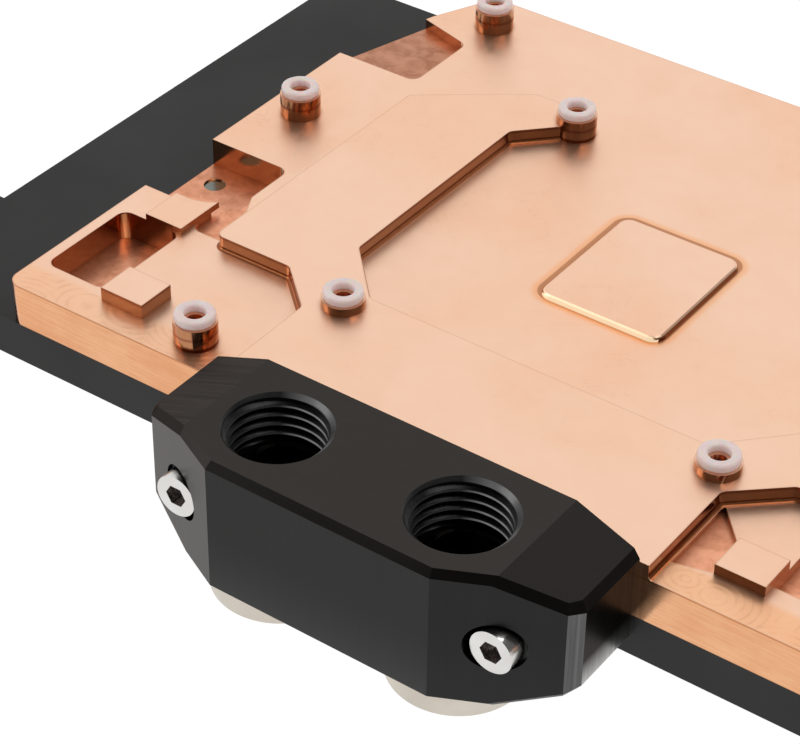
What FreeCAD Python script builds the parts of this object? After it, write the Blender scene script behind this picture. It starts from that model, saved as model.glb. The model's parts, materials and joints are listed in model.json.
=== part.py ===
"""Full-cover water block for a graphics card: copper cold plate, cover, port terminal, seals and screws.

Millimetres. The origin is the centre of the four screw bosses round the processor, on the plane of
their tops. +Z points at the card, +X runs along the port terminal, +Y from the terminal to the far edge.
"""
import FreeCAD, Part
import math
import os
import re
import Sketcher

doc = FreeCAD.newDocument("gpu_water_block")
sheet = doc.addObject("Spreadsheet::Sheet", "Sizes")

# Driving dimensions
SIZES = {
    # Levels of the cold plate, from the tops of the screw bosses downwards
    "boss_rise": (1.15, "boss tops above the raised frame"),
    "frame_rise": (2.0, "raised frame above the base slab"),
    "base_thick": (6.1, "base slab of the cold plate"),
    "cover_thick": (5.85, "cover plate"),
    "die_rise": (0.7, "processor pad above the base slab"),
    "tall_rise": (2.0, "tall contact block above the base slab"),
    "low_rise": (0.9, "low contact block above the base slab"),
    "side_rise": (1.4, "right contact block above the base slab"),
    "deep_cut": (4.0, "depth of the component pockets"),
    "channel_cut": (0.8, "depth of the shallow milled floors"),
    "far_cut": (1.6, "depth of the far left recess and the right pocket"),
    # Outline of the cold plate, from the origin
    "wing_margin": (16.6, "left and right edges beyond the wings of the raised frame"),
    "plate_near": (45.75, "near edge, where the terminal is bolted on"),
    "plate_far": (51.1, "far edge"),
    "plate_round": (2.0, "rounded upright corners"),
    "corner_set_x": (9.2, "far left corner, set back from the left edge"),
    "corner_set_y": (26.5, "far left corner, set back from the far edge"),
    "corner_notch_x": (4.4, "kink of the far left corner, along X"),
    "corner_notch_y": (9.8, "kink of the far left corner, along Y"),
    # Raised frame round the processor package, half widths from its own middle line
    "frame_shift": (0.7, "middle line of the raised frame left of the origin"),
    "frame_round": (1.2, "rounded upright corners of the frame"),
    "frame_foot": (0.5, "rounded foot of the frame walls"),
    "package_half": (31.75, "package recess, half width"),
    "package_near": (23.7, "near wall of the package recess"),
    "package_slope_x": (7.65, "slanted near corner of the package recess, along X"),
    "package_slope_y": (8.1, "slanted near corner of the package recess, along Y"),
    "package_far": (18.9, "far end of the straight side wall"),
    "band_half": (29.8, "front band, half width"),
    "band_slope_x": (6.5, "slanted corner of the front band, along X"),
    "band_slope_y": (5.9, "slanted corner of the front band, along Y"),
    "wing_near": (24.2, "near wall of the side wings"),
    "wing_half": (48.2, "outer walls of the side wings, half width"),
    "wing_far": (18.4, "far end of the outer wall of a wing"),
    "wing_tip_x": (37.8, "slanted outer corner of a wing, half width"),
    "wing_tip_y": (26.5, "slanted outer corner of a wing, far side"),
    "wing_end": (29.2, "far end of a wing"),
    "wing_end_in": (25.5, "inner far corner of a wing, half width"),
    "wing_end_out": (34.0, "outer far corner of a wing, half width"),
    "wing_point_x": (24.6, "inner point of a wing, half width"),
    "wing_point_y": (26.4, "inner point of a wing, beyond the origin"),
    # Screw bosses and spacers
    "gpu_pitch": (53.34, "square of the four processor screws"),
    "boss_dia": (5.6, "screw boss"),
    "boss_tap": (2.1, "core hole of the M2.5 thread"),
    "boss_tap_deep": (4.2, "depth of the core hole"),
    "board_edge_x": (5.3, "side board bosses inside the plate edge"),
    "board_side_y": (8.4, "side board bosses beyond the origin"),
    "board_far_x": (13.5, "far board bosses inside the plate edge"),
    "board_far_y": (7.0, "far board bosses inside the far edge"),
    "board_near_x": (38.3, "near board boss from the origin"),
    "board_near_y": (4.55, "near board boss inside the near edge"),
    "spacer_dia": (5.2, "spacer washer"),
    "spacer_bore": (2.7, "bore of the spacer"),
    "spacer_thick": (1.2, "spacer thickness"),
    # Processor pad
    "die_shift_x": (1.15, "pad centre left of the origin"),
    "die_shift_y": (2.05, "pad centre beyond the origin"),
    "die_wide": (17.75, "pad along X"),
    "die_long": (21.1, "pad along Y"),
    "die_round": (1.8, "corner radius of the pad"),
    "die_bevel": (0.35, "bevel round the pad"),
    # Contact blocks, centres from the origin
    "tall_x": (15.8, "tall block inside the left edge"),
    "tall_y": (39.0, "tall block towards the near edge"),
    "tall_wide": (6.6, "tall block along X"),
    "tall_long": (5.6, "tall block along Y"),
    "low_wide": (5.9, "low block along X"),
    "low_long": (6.2, "low block along Y"),
    "side_x": (8.5, "right block beyond the front band"),
    "side_y": (37.85, "right block towards the near edge"),
    "side_wide": (6.4, "right block along X"),
    "side_long": (5.5, "right block along Y"),
    # Pockets beside the frame
    "pocket_wall": (1.6, "wall between the left pocket and the edge"),
    "pocket_right": (11.2, "right wall of the left pocket, inside the left edge"),
    "pocket_near": (39.9, "near wall of the left pocket, from the origin"),
    "pocket_far": (24.7, "far wall of the left pocket, from the origin"),
    "pocket_round": (1.5, "corner radius of the pockets"),
    "recess_right": (13.1, "right wall of the side recess, inside the left edge"),
    "recess_far": (4.4, "far wall of the side recess, from the origin"),
    "recess_round": (6.0, "large corner radius of the side recess"),
    "shallow_near": (22.8, "near edge of the shallow floor, from the origin"),
    "shallow_far": (12.4, "far edge of the shallow floor at the side recess, from the origin"),
    "shallow_slant": (18.5, "far edge of the shallow floor at the frame, from the origin"),
    "notch_near": (24.6, "near wall of the far left recess, from the origin"),
    "notch_right": (13.2, "right wall of the far left recess, inside the left edge"),
    "notch_far": (37.2, "far end of its right wall, from the origin"),
    "notch_slope": (4.3, "slant of its far wall over the width of the recess"),
    "floor_near": (41.7, "near edge of the right shallow floor, from the origin"),
    "floor_slant": (1.2, "slant of that near edge"),
    "floor_far": (29.8, "far edge of the right shallow floor at the frame, from the origin"),
    "hollow_wide": (11.2, "right pocket along X"),
    "hollow_near": (38.6, "near wall of the right pocket, from the origin"),
    "hollow_far": (27.0, "far wall of the right pocket, from the origin"),
    # Water side of the cold plate
    "pool_cut": (3.5, "depth of the water channels"),
    "fin_area_x": (23.0, "fin field along X"),
    "fin_area_y": (26.5, "fin field along Y"),
    "fin_thick": (0.5, "fin thickness"),
    "fin_pitch": (1.0, "fin spacing"),
    "fin_drop": (3.2, "fin height"),
    "plenum_wide": (5.0, "plenum beside the fin field"),
    "passage_wide": (10.0, "water passage in the near edge, along X"),
    "passage_high": (3.2, "water passage in the near edge, along Z"),
    "passage_round": (1.4, "rounded ends of the water passage"),
    "passage_deep": (5.0, "wall between the near edge and the channels"),
    "passage_reach": (4.0, "passage above the channel"),
    # Cover
    "cover_side": (19.55, "cover beyond the left edge of the plate"),
    "cover_tab": (10.0, "tab at the near left corner, beyond the rest of the cover"),
    "cover_tab_far": (20.25, "tab along Y"),
    "cover_inset": (0.5, "cover far edge inside the plate edge"),
    "seal_cord": (1.8, "width of the main seal"),
    "seal_groove": (2.2, "width of the main seal groove"),
    "seal_deep": (1.5, "depth of the main seal groove"),
    "seal_margin": (1.6, "groove outside the channels"),
    "seal_round": (3.0, "inner corner radius of the groove"),
    # Cover screws
    "screw_dia": (3.0, "M3 shank"),
    "screw_core": (3.0, "threaded hole, to the thread crests"),
    "screw_through": (3.4, "clearance hole"),
    "screw_long": (4.8, "shank length of a cover screw"),
    "screw_spare": (0.6, "threaded hole beyond the screw tip"),
    "screw_edge": (5.0, "cover screws inside the plate edge"),
    "screw_tip_x": (3.4, "screw in the side recess, inside the left edge"),
    "screw_side_y": (8.3, "side screws towards the near edge"),
    "screw_near_y": (3.1, "near left screw inside the near edge"),
    "screw_far_x": (14.0, "middle screws of the far row, from the origin"),
    "screw_wide_x": (42.0, "outer screws of the far row, from the origin"),
    "screw_seal": (6.5, "inner screws outside the main seal groove"),
    "head_dia": (5.5, "screw head"),
    "head_low": (2.0, "height of a cover screw head"),
    "head_sink": (2.9, "counterbore depth in the cover"),
    "head_bore": (6.2, "counterbore diameter"),
    "hex_flats": (2.5, "hexagon socket across flats"),
    "hex_deep": (1.3, "hexagon socket depth"),
    # Port terminal
    "terminal_high": (19.0, "height"),
    "terminal_top": (3.4, "top above the boss tops"),
    "terminal_half": (29.85, "half length"),
    "terminal_shift": (1.95, "middle of the terminal left of the origin"),
    "terminal_deep": (19.35, "front to back"),
    "facets_long": (14.55, "both front facets together, along X"),
    "strip_long": (2.75, "narrow end facet, along X"),
    "strip_y": (13.55, "where the end facet starts, from the back"),
    "end_y": (10.8, "where the end face starts, from the back"),
    "slope_long": (8.4, "sloped ends of the top, along X"),
    "slope_drop": (3.27, "drop of the slope at the ends"),
    "terminal_bevel": (0.86, "bevel round the top and bottom edges"),
    "port_pitch": (25.4, "port spacing"),
    "port_back": (9.4, "port axis from the back face"),
    "port_core": (11.8, "core hole of the G1/4 thread"),
    "port_deep": (6.6, "thread depth"),
    "port_mouth": (13.2, "bevelled mouth"),
    "port_neck": (10.4, "bore between the threads"),
    "end_screw_gap": (2.5, "terminal screw axis beyond the passage seal groove"),
    "end_screw_z": (6.3, "terminal screw axis below the boss tops"),
    "end_screw_long": (20.0, "shank length of a terminal screw"),
    "end_head": (3.0, "height of a terminal screw head"),
    "end_seat": (14.0, "screw head seat, from the back face"),
    "end_head_bore": (6.6, "counterbore in the terminal"),
    "oval_cord": (1.1, "width of the passage seal"),
    "oval_groove": (1.35, "width of the passage seal groove"),
    "oval_deep": (0.95, "depth of the passage seal groove"),
    "oval_gap": (0.35, "web between the passage and its seal groove"),
    # Plugs
    "plug_head_dia": (17.0, "plug head"),
    "plug_head": (3.8, "plug head height"),
    "plug_bevel": (0.5, "bevelled edge of the head"),
    "plug_shank": (11.8, "threaded shank, to the thread roots"),
    "plug_long": (6.0, "shank length"),
    "plug_hex": (8.0, "hexagon socket across flats"),
    "plug_hex_deep": (4.5, "hexagon socket depth"),
    "ring_cord": (1.3, "width of the plug seal"),
    "ring_inner": (13.4, "inner diameter of the plug seal"),
    "ring_sink": (1.0, "depth of its groove in the plug head"),
}
for row, (alias, (size, note)) in enumerate(SIZES.items(), 1):
    sheet.set(f"A{row}", note)
    sheet.set(f"B{row}", str(size))
    sheet.setAlias(f"B{row}", alias)
doc.recompute()

WORD = re.compile(r"[a-z_]+")


def bound(text):
    """The expression that reads each named size from the sheet."""
    return WORD.sub(lambda found: "Sizes." + found.group(0) if found.group(0) in SIZES else found.group(0), text)


def number(text):
    """The value of an expression in named sizes."""
    result = sheet.evalExpression(bound(text))
    return float(getattr(result, "Value", result))


# Levels
FRAME_TOP = "(-boss_rise)"
BASE_TOP = f"({FRAME_TOP} - frame_rise)"
BASE_BOTTOM = f"({BASE_TOP} - base_thick)"
COVER_BOTTOM = f"({BASE_BOTTOM} - cover_thick)"
POOL_TOP = f"({BASE_BOTTOM} + pool_cut)"
PASSAGE_Z = f"(({FRAME_TOP} + {BASE_BOTTOM}) / 2)"
TERMINAL_BOTTOM = "(terminal_top - terminal_high)"

# Places along X and Y
LEFT_EDGE = "(-frame_shift - wing_half - wing_margin)"
RIGHT_EDGE = "(-frame_shift + wing_half + wing_margin)"
POCKET_RIGHT = f"({LEFT_EDGE} + pocket_right)"
RECESS_RIGHT = f"({LEFT_EDGE} + recess_right)"
SIDE_X = "(band_half - frame_shift + side_x)"
FRONT_HALF = "(terminal_half - facets_long)"
STRIP_HALF = "(terminal_half - strip_long)"
CREASE_HALF = "(terminal_half - slope_long)"
SCREW_HALF = "(port_pitch / 2 + passage_wide / 2 + oval_gap + oval_groove + end_screw_gap)"
SIDE_SCREWS = [(f"-terminal_shift {side} {SCREW_HALF}", "-end_screw_z") for side in "-+"]
LEFT_PORT = "(-terminal_shift - port_pitch / 2)"
RIGHT_PORT = "(-terminal_shift + port_pitch / 2)"
PORT_Y = "(-plate_near - port_back)"
POOL_NEAR = "(-plate_near + passage_deep)"
FIN_LEFT = "(-die_shift_x - fin_area_x / 2)"
FIN_RIGHT = "(-die_shift_x + fin_area_x / 2)"
FIN_NEAR = "(die_shift_y - fin_area_y / 2)"
FIN_FAR = "(die_shift_y + fin_area_y / 2)"
SEAL_LEFT = f"({LEFT_PORT} - passage_wide / 2 - seal_margin)"
SEAL_RIGHT = f"({RIGHT_PORT} + passage_wide / 2 + seal_margin)"
SEAL_NEAR = f"({POOL_NEAR} - seal_margin)"
SEAL_FAR = f"({FIN_FAR} + seal_margin)"

# Screw bosses: the four round the processor, and those that hold the board
GPU_BOSSES = {
    "gpu_near_left": ("-gpu_pitch / 2", "-gpu_pitch / 2"),
    "gpu_far_left": ("-gpu_pitch / 2", "gpu_pitch / 2"),
    "gpu_near_right": ("gpu_pitch / 2", "-gpu_pitch / 2"),
    "gpu_far_right": ("gpu_pitch / 2", "gpu_pitch / 2"),
}
BOARD_BOSSES = {
    "board_left": (f"{LEFT_EDGE} + board_edge_x", "board_side_y"),
    "board_far_left": (f"{LEFT_EDGE} + board_far_x", "plate_far - board_far_y"),
    "board_near_left": ("-board_near_x", "-plate_near + board_near_y"),
    "board_right": (f"{RIGHT_EDGE} - board_edge_x", "board_side_y"),
    "board_far_right": (f"{RIGHT_EDGE} - board_far_x", "plate_far - board_far_y"),
}
BOSSES = {**GPU_BOSSES, **BOARD_BOSSES}

# Cover screws, clear of the pockets, the main seal and the bosses
RECESS_SCREW = (f"{LEFT_EDGE} + screw_tip_x", "-screw_side_y")
INNER_LEFT = f"{SEAL_LEFT} - seal_groove - screw_seal"
INNER_RIGHT = f"{SEAL_RIGHT} + seal_groove + screw_seal"
COVER_SCREWS = [
    (f"{LEFT_EDGE} + screw_edge", "-plate_near + screw_near_y"),
    (f"{LEFT_EDGE} + screw_edge", "board_side_y + board_far_x"),
    ("-screw_wide_x", "plate_far - screw_edge"),
    ("-screw_far_x", "plate_far - screw_edge"),
    ("screw_far_x", "plate_far - screw_edge"),
    ("screw_wide_x", "plate_far - screw_edge"),
    (f"{RIGHT_EDGE} - screw_edge", "plate_far - screw_edge"),
    (f"{RIGHT_EDGE} - screw_edge", "-screw_side_y"),
    (f"{RIGHT_EDGE} - screw_edge", "-plate_near + screw_edge"),
    (INNER_LEFT, "-plate_near + screw_edge"),
    (INNER_RIGHT, "-plate_near + screw_edge"),
    (INNER_LEFT, "-screw_side_y"),
    (INNER_RIGHT, "-screw_side_y"),
    (INNER_LEFT, f"{SEAL_FAR} + screw_edge"),
    (INNER_RIGHT, f"{SEAL_FAR} + screw_edge"),
]


def new_body(name):
    body = doc.addObject("PartDesign::Body", name)
    body.Label = name
    return body


def new_sketch(body, name, level, role):
    """A sketch on one of the body's own planes, moved along its normal to a level."""
    made = body.newObject("Sketcher::SketchObject", name)
    plane = next(item for item in body.Origin.OriginFeatures if item.Role == role)
    made.AttachmentSupport = [(plane, "")]
    made.MapMode = "FlatFace"
    made.setExpression("AttachmentOffset.Base.z", bound(level))
    return made


def vector(x, y):
    return FreeCAD.Vector(number(x), number(y), 0)


def pin_point(sketch, geometry, position, x, y):
    """Ties a sketch point to its place from the origin."""
    for kind, text in (("DistanceX", x), ("DistanceY", y)):
        index = sketch.addConstraint(Sketcher.Constraint(kind, -1, 1, geometry, position, number(text)))
        sketch.setExpression(f"Constraints[{index}]", bound(text))


def pin_size(sketch, kind, geometry, text):
    index = sketch.addConstraint(Sketcher.Constraint(kind, geometry, number(text)))
    sketch.setExpression(f"Constraints[{index}]", bound(text))


def add_loop(sketch, corners):
    """A closed outline through corners, each an (x, y) pair of expressions."""
    first = sketch.GeometryCount
    points = [vector(x, y) for x, y in corners]
    for start, end in zip(points, points[1:] + points[:1]):
        sketch.addGeometry(Part.LineSegment(start, end), False)
    for index, (x, y) in enumerate(corners):
        following = first + (index + 1) % len(corners)
        sketch.addConstraint(Sketcher.Constraint("Coincident", first + index, 2, following, 1))
        pin_point(sketch, first + index, 1, x, y)


def add_circle(sketch, x, y, diameter):
    circle = Part.Circle(vector(x, y), FreeCAD.Vector(0, 0, 1), number(diameter) / 2)
    geometry = sketch.addGeometry(circle, False)
    pin_point(sketch, geometry, 3, x, y)
    pin_size(sketch, "Diameter", geometry, diameter)


def add_round_box(sketch, left, right, low, high, radius):
    """A rectangle with four arcs at its corners."""
    first = sketch.GeometryCount
    centres = [
        (f"{left} + {radius}", f"{low} + {radius}"),
        (f"{right} - {radius}", f"{low} + {radius}"),
        (f"{right} - {radius}", f"{high} - {radius}"),
        (f"{left} + {radius}", f"{high} - {radius}"),
    ]
    arcs = []
    for index, (x, y) in enumerate(centres):
        start = math.pi + index * math.pi / 2
        circle = Part.Circle(vector(x, y), FreeCAD.Vector(0, 0, 1), number(radius))
        arcs.append(Part.ArcOfCircle(circle, start, start + math.pi / 2))
        sketch.addGeometry(arcs[-1], False)
    for index, arc in enumerate(arcs):
        line = Part.LineSegment(arc.EndPoint, arcs[(index + 1) % 4].StartPoint)
        sketch.addGeometry(line, False)
    for index, (x, y) in enumerate(centres):
        line = first + 4 + index
        sketch.addConstraint(Sketcher.Constraint("Tangent", first + index, 2, line, 1))
        sketch.addConstraint(Sketcher.Constraint("Tangent", line, 2, first + (index + 1) % 4, 1))
        pin_point(sketch, first + index, 3, x, y)
        pin_size(sketch, "Radius", first + index, radius)


def box_loop(left, right, near, far):
    return [(left, near), (right, near), (right, far), (left, far)]


def centred_box(x, y, wide, long):
    return box_loop(f"{x} - {wide} / 2", f"{x} + {wide} / 2", f"{y} - {long} / 2", f"{y} + {long} / 2")


def hexagon(flats):
    """Corners of a regular hexagon about the origin."""
    side = f"{flats} / sqrt(3)"
    return [
        (side, "0"), (f"{side} / 2", f"{flats} / 2"), (f"-{side} / 2", f"{flats} / 2"),
        (f"-{side}", "0"), (f"-{side} / 2", f"-{flats} / 2"), (f"{side} / 2", f"-{flats} / 2"),
    ]


def extrude(body, name, level, height, loops=(), circles=(), boxes=(), cut=False, up=True, role="XY_Plane"):
    """Pads or pockets an outline from a level, and checks that the solid grew or shrank."""
    before = body.Shape.Volume if body.Tip else 0
    sketch = new_sketch(body, name + "_outline", level, role)
    for corners in loops:
        add_loop(sketch, corners)
    for circle in circles:
        add_circle(sketch, *circle)
    for box in boxes:
        add_round_box(sketch, *box)
    feature = body.newObject("PartDesign::Pocket" if cut else "PartDesign::Pad", name)
    feature.Profile = sketch
    feature.setExpression("Length", bound(height))
    feature.Reversed = up == cut
    sketch.Visibility = False
    doc.recompute()
    change = body.Shape.Volume - before
    if change * (-1 if cut else 1) <= 0:
        raise ValueError(f"{name} changed nothing")
    return feature


def cut(body, name, level, height, **outline):
    return extrude(body, name, level, height, cut=True, **outline)


def dress(body, name, kind, size_name, text, choose):
    """A fillet or chamfer on the edges of the tip that a test picks by their end points."""
    base = body.Tip
    edges = []
    for index, edge in enumerate(base.Shape.Edges, 1):
        if choose(edge, [vertex.Point for vertex in edge.Vertexes]):
            edges.append(f"Edge{index}")
    if not edges:
        raise ValueError(f"{name} found no edges")
    feature = body.newObject("PartDesign::" + kind, name)
    feature.Base = (base, edges)
    feature.setExpression(size_name, bound(text))
    doc.recompute()
    return feature


def round_corners(body, name, radius, corners, low, high):
    """Rounds the upright edges at the given corners between two levels."""
    places = [(number(x), number(y)) for x, y in corners]
    bottom = number(low) - 1e-3
    top = number(high) + 1e-3

    def upright(edge, points):
        start, end = points[0], points[-1]
        if abs(start.x - end.x) > 1e-4 or abs(start.y - end.y) > 1e-4 or abs(start.z - end.z) < 0.1:
            return False
        if min(start.z, end.z) < bottom or max(start.z, end.z) > top:
            return False
        return any(abs(start.x - x) < 1e-3 and abs(start.y - y) < 1e-3 for x, y in places)

    return dress(body, name, "Fillet", "Radius", radius, upright)


def revolve(body, name, corners):
    """Turns an outline of (radius, height) pairs about the body's own upright axis."""
    sketch = new_sketch(body, name + "_outline", "0", "XZ_Plane")
    add_loop(sketch, corners)
    feature = body.newObject("PartDesign::Revolution", name)
    feature.Profile = sketch
    feature.ReferenceAxis = (sketch, ["V_Axis"])
    feature.Angle = 360
    sketch.Visibility = False
    doc.recompute()
    return feature


def place(body, x, y, z):
    for axis, text in (("x", x), ("y", y), ("z", z)):
        body.setExpression(f"Placement.Base.{axis}", bound(text))
    doc.recompute()
    return body


def frame_half(side):
    """One half of the raised frame, from its near edge round the wing to the near wall of the recess."""
    corners = [
        ("band_half", "-plate_near"),
        ("band_half", "-wing_near - band_slope_y"),
        ("band_half + band_slope_x", "-wing_near"),
        ("wing_half", "-wing_near"),
        ("wing_half", "wing_far"),
        ("wing_tip_x", "wing_tip_y"),
        ("wing_end_out", "wing_end"),
        ("wing_end_in", "wing_end"),
        ("wing_point_x", "wing_point_y"),
        ("package_half", "package_far"),
        ("package_half", "-package_near + package_slope_y"),
        ("package_half - package_slope_x", "-package_near"),
    ]
    return [(f"(-frame_shift {side} ({half}))", y) for half, y in corners]


def make_cold_plate():
    body = new_body("cold_plate")
    far_left = [
        (f"{LEFT_EDGE} + corner_set_x", "plate_far"),
        (f"{LEFT_EDGE} + corner_set_x - corner_notch_x", "plate_far - corner_notch_y"),
        (LEFT_EDGE, "plate_far - corner_set_y"),
    ]
    right_side = [(LEFT_EDGE, "-plate_near"), (RIGHT_EDGE, "-plate_near"), (RIGHT_EDGE, "plate_far")]
    extrude(body, "base_slab", BASE_BOTTOM, "base_thick", loops=[right_side + far_left])
    round_corners(body, "slab_corners", "plate_round", right_side + far_left, BASE_BOTTOM, BASE_TOP)
    right = frame_half("+")
    left = frame_half("-")
    extrude(body, "raised_frame", BASE_TOP, "frame_rise", loops=[right + left[::-1]])
    soft = right[1:8] + right[9:] + left[1:8] + left[9:]
    round_corners(body, "frame_corners", "frame_round", soft, BASE_TOP, FRAME_TOP)
    level = number(BASE_TOP)
    middle = number("-frame_shift")
    reach = number("wing_half") + 1e-3

    def foot(edge, points):
        return all(abs(point.z - level) < 1e-4 and abs(point.x - middle) < reach for point in points)

    dress(body, "frame_feet", "Fillet", "Radius", "frame_foot", foot)
    for name, (x, y) in BOSSES.items():
        extrude(body, "boss_" + name, BASE_TOP, f"-{BASE_TOP}", circles=[(x, y, "boss_dia")])
    add_blocks(body)
    cut_pockets(body)
    taps = [(x, y, "boss_tap") for x, y in BOSSES.values()]
    cut(body, "boss_taps", "0", "boss_tap_deep", circles=taps, up=False)
    cut_water_side(body)
    return body


def add_blocks(body):
    """Contact blocks and the processor pad."""
    tall = centred_box(f"{LEFT_EDGE} + tall_x", "-tall_y", "tall_wide", "tall_long")
    low = box_loop(f"{POCKET_RIGHT} - low_wide", POCKET_RIGHT, "-pocket_far", "-pocket_far + low_long")
    side = centred_box(SIDE_X, "-side_y", "side_wide", "side_long")
    extrude(body, "tall_block", BASE_TOP, "tall_rise", loops=[tall])
    extrude(body, "low_block", BASE_TOP, "low_rise", loops=[low])
    extrude(body, "side_block", BASE_TOP, "side_rise", loops=[side])
    die = centred_box("-die_shift_x", "die_shift_y", "die_wide", "die_long")
    top = number(f"{BASE_TOP} + die_rise")
    extrude(body, "die_pad", BASE_TOP, "die_rise", loops=[die])
    round_corners(body, "die_corners", "die_round", die, BASE_TOP, f"{BASE_TOP} + die_rise")
    reach = number("die_long")

    def rim(edge, points):
        return all(abs(point.z - top) < 1e-4 and math.hypot(point.x, point.y) < reach for point in points)

    dress(body, "die_rim", "Chamfer", "Size", "die_bevel", rim)


def cut_pockets(body):
    """Room for the tall parts of the board."""
    outside = f"({LEFT_EDGE} - pocket_wall)"
    pocket = box_loop(f"{LEFT_EDGE} + pocket_wall", POCKET_RIGHT, "-pocket_near", "-pocket_far")
    cut(body, "left_pocket", BASE_TOP, "deep_cut", loops=[pocket], up=False)
    round_corners(body, "left_pocket_corners", "pocket_round", pocket, f"{BASE_TOP} - deep_cut", BASE_TOP)
    recess_near = "(-pocket_far + low_long)"
    recess = box_loop(outside, RECESS_RIGHT, recess_near, "-recess_far")
    cut(body, "side_recess", BASE_TOP, "deep_cut", loops=[recess], up=False)
    recess_floor = f"{BASE_TOP} - deep_cut"
    round_corners(body, "recess_near_corner", "recess_round", recess[1:2], recess_floor, BASE_TOP)
    round_corners(body, "recess_far_corner", "pocket_round", recess[2:3], recess_floor, BASE_TOP)
    block_left = f"({POCKET_RIGHT} - low_wide)"
    frame_left = "(-frame_shift - wing_half - frame_foot)"
    shallow = [
        (POCKET_RIGHT, "-shallow_near"), (frame_left, "-shallow_near"), (frame_left, "-shallow_slant"),
        (RECESS_RIGHT, "-shallow_far"), (block_left, "-shallow_far"), (block_left, recess_near),
        (POCKET_RIGHT, recess_near),
    ]
    cut(body, "shallow_floor", BASE_TOP, "channel_cut", loops=[shallow], up=False)
    round_corners(body, "shallow_corner", "pocket_round", shallow[:1], f"{BASE_TOP} - channel_cut", BASE_TOP)
    notch_right = f"{LEFT_EDGE} + notch_right"
    notch = [
        (outside, "notch_near"), (notch_right, "notch_near"), (notch_right, "notch_far"),
        (outside, "notch_far + notch_slope"),
    ]
    cut(body, "far_notch", BASE_TOP, "far_cut", loops=[notch], up=False)
    round_corners(body, "far_notch_corners", "pocket_round", notch[1:3], f"{BASE_TOP} - far_cut", BASE_TOP)
    floor_left = "(band_half - frame_shift + frame_foot)"
    floor_right = f"({SIDE_X} - side_wide / 2)"
    floor = [
        (floor_left, "-floor_near"), (floor_right, "-floor_near + floor_slant"),
        (floor_right, "-side_y + side_long / 2"), (floor_left, "-floor_far"),
    ]
    cut(body, "right_floor", BASE_TOP, "channel_cut", loops=[floor], up=False)
    right_wall = f"{SIDE_X} + side_wide / 2"
    hollow = box_loop(right_wall, f"{right_wall} + hollow_wide", "-hollow_near", "-hollow_far")
    cut(body, "right_pocket", BASE_TOP, "far_cut", loops=[hollow], up=False)


def cut_water_side(body):
    """Channels, fins, passages and threaded holes on the underside and the near edge."""
    for name, port in (("left", LEFT_PORT), ("right", RIGHT_PORT)):
        channel = box_loop(
            f"{port} - passage_wide / 2", f"{port} + passage_wide / 2", POOL_NEAR, f"{FIN_NEAR} + fin_thick")
        cut(body, name + "_channel", BASE_BOTTOM, "pool_cut", loops=[channel])
    pool = box_loop(f"{FIN_LEFT} - plenum_wide", f"{FIN_RIGHT} + plenum_wide", FIN_NEAR, FIN_FAR)
    cut(body, "fin_pool", BASE_BOTTOM, "pool_cut", loops=[pool])
    fin = box_loop(FIN_LEFT, FIN_RIGHT, FIN_NEAR, f"{FIN_NEAR} + fin_thick")
    first_fin = extrude(body, "fin", POOL_TOP, "fin_drop", loops=[fin], up=False)
    fins = body.newObject("PartDesign::LinearPattern", "fins")
    fins.Originals = [first_fin]
    fins.Direction = (first_fin.Profile[0], ["V_Axis"])
    fins.setExpression("Occurrences", bound("floor((fin_area_y - fin_thick) / fin_pitch) + 1"))
    fins.setExpression("Length", bound("floor((fin_area_y - fin_thick) / fin_pitch) * fin_pitch"))
    body.Tip = fins
    doc.recompute()
    passages = []
    for port in (LEFT_PORT, RIGHT_PORT):
        passages.append(passage_box(port, "0", "passage_round"))
    cut(body, "passages", "plate_near", "passage_deep + passage_reach", boxes=passages, up=False, role="XZ_Plane")
    holes = [(x, z, "screw_core") for x, z in SIDE_SCREWS]
    cut(body, "side_holes", "plate_near", "end_screw_long - end_seat + screw_spare", circles=holes,
        up=False, role="XZ_Plane")
    cores = [(x, y, "screw_core") for x, y in COVER_SCREWS]
    cut(body, "cover_holes", BASE_BOTTOM, "screw_long - cover_thick + head_sink + screw_spare", circles=cores)
    cut(body, "recess_hole", BASE_BOTTOM, "base_thick - deep_cut", circles=[(*RECESS_SCREW, "screw_core")])


def passage_box(port, grow, radius):
    """The oblong water passage about a port, or its outline set outwards."""
    return (
        f"{port} - passage_wide / 2 - ({grow})", f"{port} + passage_wide / 2 + ({grow})",
        f"{PASSAGE_Z} - passage_high / 2 - ({grow})", f"{PASSAGE_Z} + passage_high / 2 + ({grow})", radius)


def passage_ring(port, inner, outer):
    """Inner and outer outline of a ring round a water passage."""
    return [
        passage_box(port, inner, f"(passage_round + {inner})"),
        passage_box(port, outer, f"(passage_round + {outer})"),
    ]


def seal_ring(inner, outer):
    """Inner and outer outline of a ring round the water channels."""
    rings = []
    for grow in (inner, outer):
        rings.append((
            f"{SEAL_LEFT} - ({grow})", f"{SEAL_RIGHT} + ({grow})",
            f"{SEAL_NEAR} - ({grow})", f"{SEAL_FAR} + ({grow})", f"(seal_round + {grow})"))
    return rings


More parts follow.
